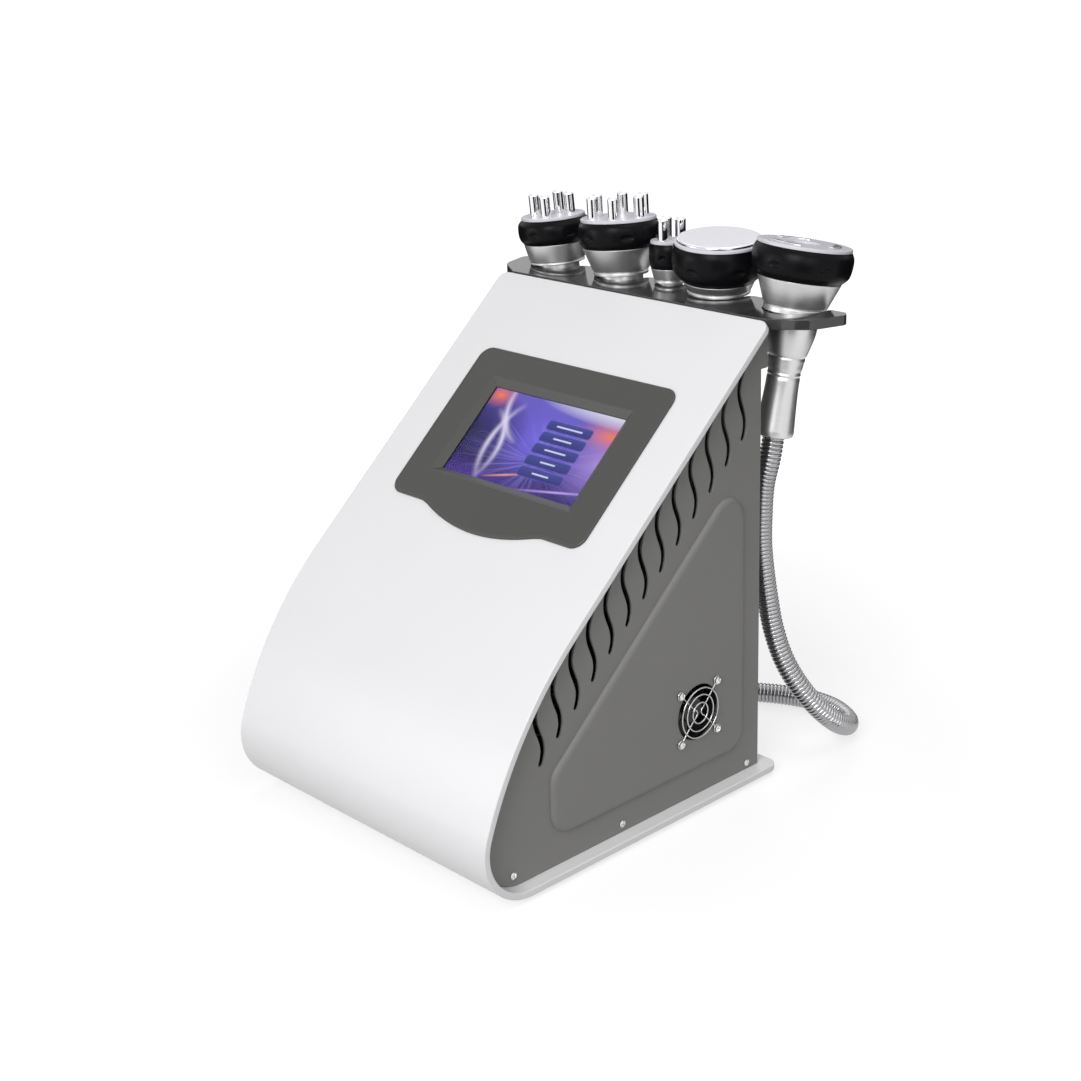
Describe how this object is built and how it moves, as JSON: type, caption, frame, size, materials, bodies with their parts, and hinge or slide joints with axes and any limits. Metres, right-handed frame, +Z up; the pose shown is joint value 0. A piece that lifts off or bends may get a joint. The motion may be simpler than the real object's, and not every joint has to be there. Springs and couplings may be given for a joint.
{
  "type": "cavitation slimming machine",
  "caption": "Tabletop slimming machine: a bent white sheet wraps a grey cabinet with a touch screen, and round-headed handpieces hang in a shelf across the top.",
  "frame": {"origin": "on the table under the middle of the machine's box, measured without the hose", "axes": "+Z up, the screen slopes down towards -Y, +X to the right of someone who faces the screen"},
  "size_m": [0.5224, 0.6583, 0.5432],
  "materials": {
    "white_sheet": "satin white",
    "grey_panel": "fine powder coat",
    "dark_trim": "satin dark grey",
    "black_shelf": "polished",
    "touch_glass": "clear",
    "screen": "lit display",
    "rubber_feet": "matt",
    "steel_screws": "bright",
    "black_plastic": "moulded",
    "chrome_guard": "bright",
    "steel_sockets": "satin",
    "satin_aluminium": "turned, satin",
    "black_collar": "moulded",
    "white_face": "smooth",
    "chrome_electrodes": "mirror",
    "inner_metal": "plain",
    "circuit_board": "lacquered",
    "hose": "ribbed, satin",
    "steel_plug": "satin"
  },
  "bodies": {
    "cabinet": {"wrap_sheet": "white_sheet", "side_panel_left": "grey_panel", "side_panel_right": "grey_panel", "rear_panel": "grey_panel", "screen_bezel": "dark_trim", "shelf_rail": "dark_trim", "handpiece_shelf": "black_shelf", "touch_glass": "touch_glass", "display_panel": "screen", "foot_front_left": "rubber_feet", "foot_front_right": "rubber_feet", "foot_rear_left": "rubber_feet", "foot_rear_right": "rubber_feet", "panel_screw_left_1": "steel_screws", "panel_screw_left_2": "steel_screws", "panel_screw_left_3": "steel_screws", "panel_screw_right_1": "steel_screws", "panel_screw_right_2": "steel_screws", "panel_screw_right_3": "steel_screws", "guard_screw_1": "steel_screws", "guard_screw_2": "steel_screws", "guard_screw_3": "steel_screws", "guard_screw_4": "steel_screws", "fan_frame": "black_plastic", "power_inlet": "black_plastic", "fan_guard": "chrome_guard", "quad_socket": "steel_sockets", "hexa_socket": "steel_sockets", "tripolar_socket": "steel_sockets", "cavitation_socket": "steel_sockets", "vacuum_socket": "steel_sockets", "power_supply": "inner_metal", "ultrasonic_driver": "inner_metal", "main_board": "circuit_board", "hose_free": "hose", "hose_coil": "hose", "hose_plug": "steel_plug"},
    "quad_handpiece": {"quad_handle": "satin_aluminium", "quad_collar": "black_collar", "quad_face": "white_face", "quad_pins": "chrome_electrodes"},
    "hexa_handpiece": {"hexa_handle": "satin_aluminium", "hexa_collar": "black_collar", "hexa_face": "white_face", "hexa_pins": "chrome_electrodes"},
    "tripolar_handpiece": {"tripolar_handle": "satin_aluminium", "tripolar_collar": "black_collar", "tripolar_face": "white_face", "tripolar_pins": "chrome_electrodes"},
    "cavitation_handpiece": {"cavitation_handle": "satin_aluminium", "cavitation_collar": "black_collar", "cavitation_ring": "white_face", "cavitation_disc": "chrome_electrodes"},
    "vacuum_handpiece": {"vacuum_handle": "satin_aluminium", "vacuum_collar": "black_collar", "vacuum_face": "white_face", "vacuum_electrodes": "chrome_electrodes", "vacuum_pump": "inner_metal"},
    "impeller": {"fan_impeller": "black_plastic"},
    "rocker": {"rocker_switch": "black_plastic"}
  },
  "joints": [
    {"name": "quad_lift", "type": "slide", "parent": "cabinet", "child": "quad_handpiece", "axis": [-0.0916, -0.0216, 0.9956], "range_m": [0, 0.14]},
    {"name": "hexa_lift", "type": "slide", "parent": "cabinet", "child": "hexa_handpiece", "axis": [-0.0727, 0.0246, 0.9971], "range_m": [0, 0.14]},
    {"name": "tripolar_lift", "type": "slide", "parent": "cabinet", "child": "tripolar_handpiece", "axis": [-0.0383, 0.0357, 0.9986], "range_m": [0, 0.125]},
    {"name": "cavitation_lift", "type": "slide", "parent": "cabinet", "child": "cavitation_handpiece", "axis": [0.051, -0.0476, 0.9976], "range_m": [0, 0.14]},
    {"name": "vacuum_lift", "type": "slide", "parent": "cabinet", "child": "vacuum_handpiece", "axis": [0.0557, 0.1617, 0.9853], "range_m": [0, 0.15]},
    {"name": "fan_spin", "type": "hinge", "parent": "cabinet", "child": "impeller", "pos_m": [0.1514, 0.04111, 0.1005], "axis": [1, 0, 0], "continuous": true},
    {"name": "rocker_tilt", "type": "hinge", "parent": "cabinet", "child": "rocker", "pos_m": [0.105, 0.13361, 0.0888], "axis": [1, 0, 0], "range_deg": [0, 16]}
  ]
}
